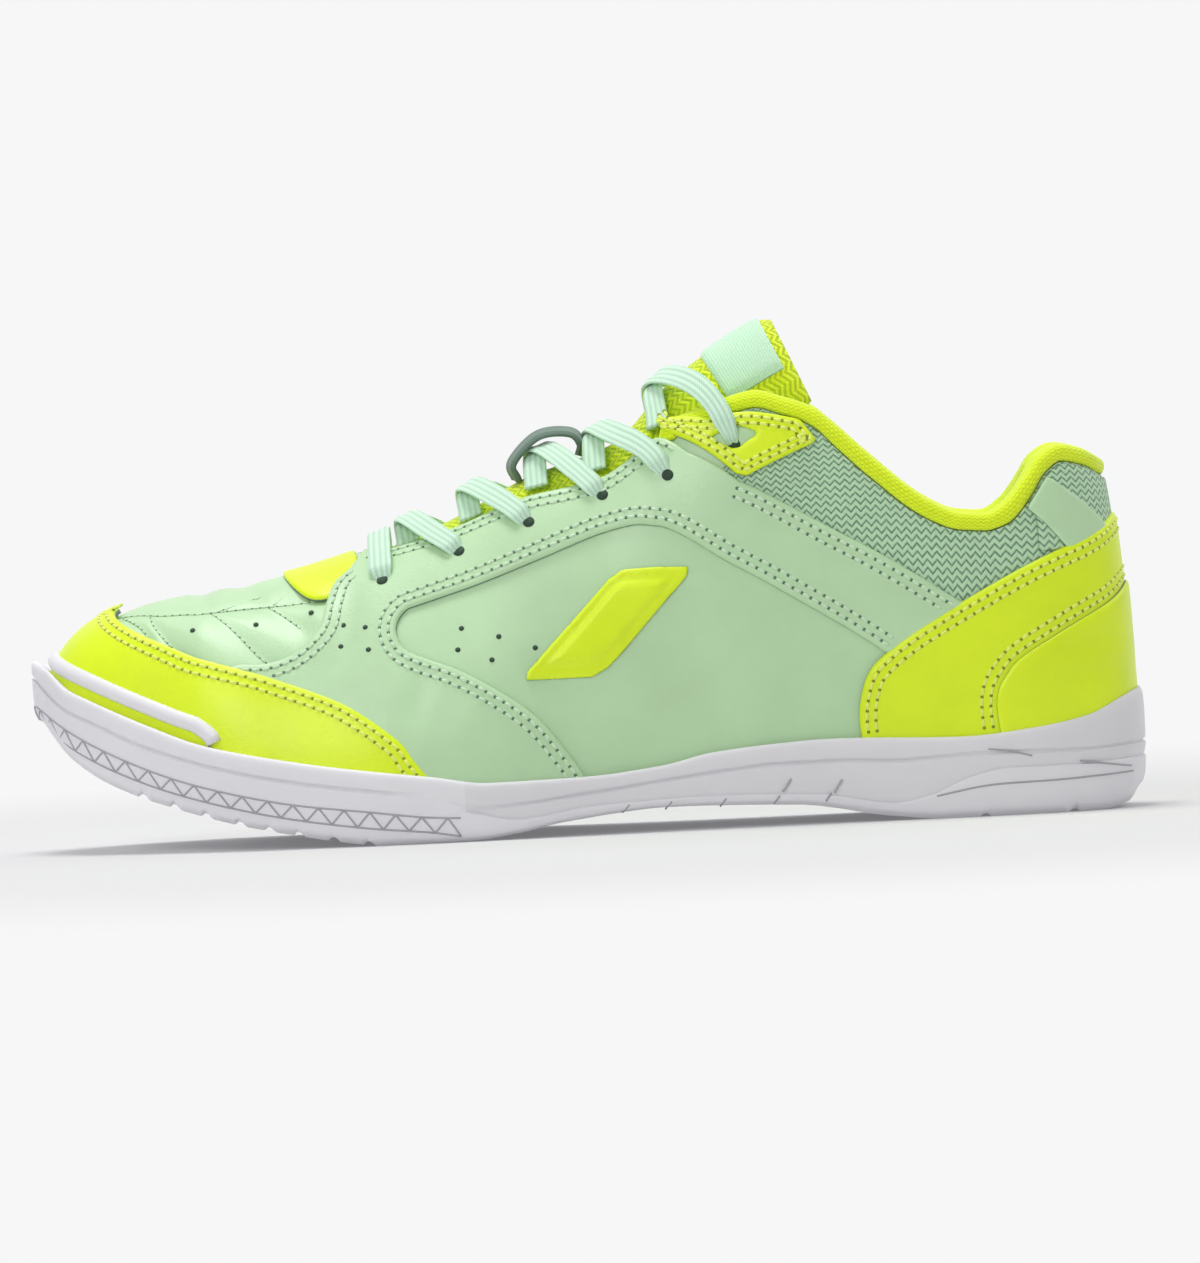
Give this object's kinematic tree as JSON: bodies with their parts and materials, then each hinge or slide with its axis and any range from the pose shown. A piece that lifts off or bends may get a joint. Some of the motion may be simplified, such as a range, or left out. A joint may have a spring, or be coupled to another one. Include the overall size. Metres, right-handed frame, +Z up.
{
  "type": "indoor soccer shoe",
  "caption": "Low indoor soccer shoe with a grooved rubber cup sole, raised toe line, laced throat, tongue and padded collar, in mint leather with yellow overlays.",
  "frame": {"origin": "middle of the footprint's box on the floor, under the shoe standing on its sole", "axes": "+X from the toe towards the heel, -Y towards the outer (lateral) side, +Z up"},
  "size_m": [0.292, 0.1025, 0.1332],
  "materials": {
    "sole_rubber": "matt pale rubber with moulded lines",
    "midsole_foam": "matt moulded foam",
    "insole_fabric": "fine brushed textile",
    "mint_leather": "soft satin leather, fine grain",
    "yellow_leather": "smooth satin leather, neon yellow",
    "yellow_textile": "knitted textile, neon yellow",
    "mint_mesh": "open zigzag knit over a dark ground",
    "mint_label": "woven label, bare",
    "grey_webbing": "narrow woven webbing",
    "lace_tape": "flat ribbed tape, pale mint"
  },
  "bodies": {
    "root": {"outsole": "sole_rubber", "midsole": "midsole_foam", "insole": "insole_fabric", "upper": "mint_leather", "toe_cap": "yellow_leather", "toe_bumper": "sole_rubber", "quarter_lateral": "mint_leather", "quarter_medial": "mint_leather", "side_patch_lateral": "yellow_leather", "side_patch_medial": "yellow_leather", "eyelet_patch_lateral": "yellow_leather", "eyelet_patch_medial": "yellow_leather", "throat_piece": "yellow_leather", "heel_band": "yellow_leather", "heel_counter": "yellow_leather", "heel_tab": "mint_leather", "collar_lining": "yellow_textile", "tongue": "yellow_textile", "tongue_label": "mint_label", "lace_keeper": "grey_webbing", "lace_bar": "lace_tape", "lace_crossing_1": "lace_tape", "lace_crossing_2": "lace_tape", "lace_crossing_3": "lace_tape", "lace_crossing_4": "lace_tape", "lace_crossing_5": "lace_tape"}
  },
  "joints": []
}
